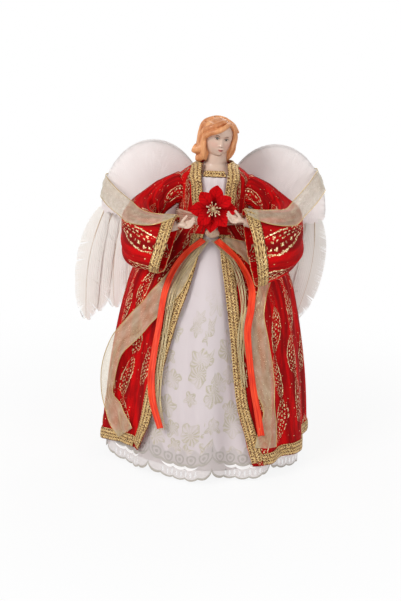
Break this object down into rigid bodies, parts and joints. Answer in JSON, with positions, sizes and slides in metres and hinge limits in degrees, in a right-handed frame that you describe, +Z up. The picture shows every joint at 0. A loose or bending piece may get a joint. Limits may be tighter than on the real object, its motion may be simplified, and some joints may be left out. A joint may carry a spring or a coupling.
{
  "type": "angel tree topper",
  "caption": "Angel figure that slips over the top of a Christmas tree: hollow cone, white lace-edged skirt, open red robe with gold braid, feather wings and a poinsettia in its hands.",
  "frame": {"origin": "centre of the cone's mouth on its bottom rim, where the tip of the tree goes in", "axes": "+Z up along the cone's axis, the angel faces -Y, +X is the angel's left"},
  "size_m": [0.2805, 0.225, 0.3607],
  "materials": {
    "card": "matt board",
    "wadding": "polyester wadding",
    "porcelain": "bisque, painted",
    "hair_paint": "painted bisque",
    "white_satin": "satin",
    "lace": "embroidered organza with a lace border",
    "velvet": "velvet with gold leaf print",
    "gold_braid": "metallic braid",
    "organza": "sheer, wired edges",
    "red_satin": "satin ribbon",
    "strand": "fine metallic strands",
    "petal": "velvet petals",
    "stamen": "pearl tips",
    "stem": "covered wire",
    "feather": "goose feather",
    "wire": "plain wire"
  },
  "bodies": {
    "root": {"support_cone": "card", "white_skirt": "white_satin", "lace_overlay": "lace", "torso_form": "wadding", "bodice": "white_satin", "bust": "porcelain", "hair": "hair_paint", "neck_trim": "gold_braid", "arm_wire": "wire", "robe_back": "velvet", "back_hem_trim": "gold_braid", "waist_sash": "organza", "bow_knot": "organza", "flower_petals": "petal", "flower_stamens": "stamen", "flower_stem": "stem", "wing_card": "card", "wing_pad": "wadding", "left_arm": "wadding", "left_hand": "porcelain", "left_sleeve": "velvet", "left_cuff_trim": "gold_braid", "robe_left_front": "velvet", "left_front_trim": "gold_braid", "left_collar_trim": "gold_braid", "left_hem_trim": "gold_braid", "left_ribbon_tail": "organza", "left_satin_ribbon": "red_satin", "left_strands": "strand", "left_wing_coverts": "feather", "left_wing_back": "feather", "left_feather_1": "feather", "left_feather_2": "feather", "left_feather_3": "feather", "left_feather_4": "feather", "right_arm": "wadding", "right_hand": "porcelain", "right_sleeve": "velvet", "right_cuff_trim": "gold_braid", "robe_right_front": "velvet", "right_front_trim": "gold_braid", "right_collar_trim": "gold_braid", "right_hem_trim": "gold_braid", "right_ribbon_tail": "organza", "right_satin_ribbon": "red_satin", "right_strands": "strand", "right_wing_coverts": "feather", "right_wing_back": "feather", "right_feather_1": "feather", "right_feather_2": "feather", "right_feather_3": "feather", "right_feather_4": "feather", "wing_ribbon": "organza"}
  },
  "joints": []
}
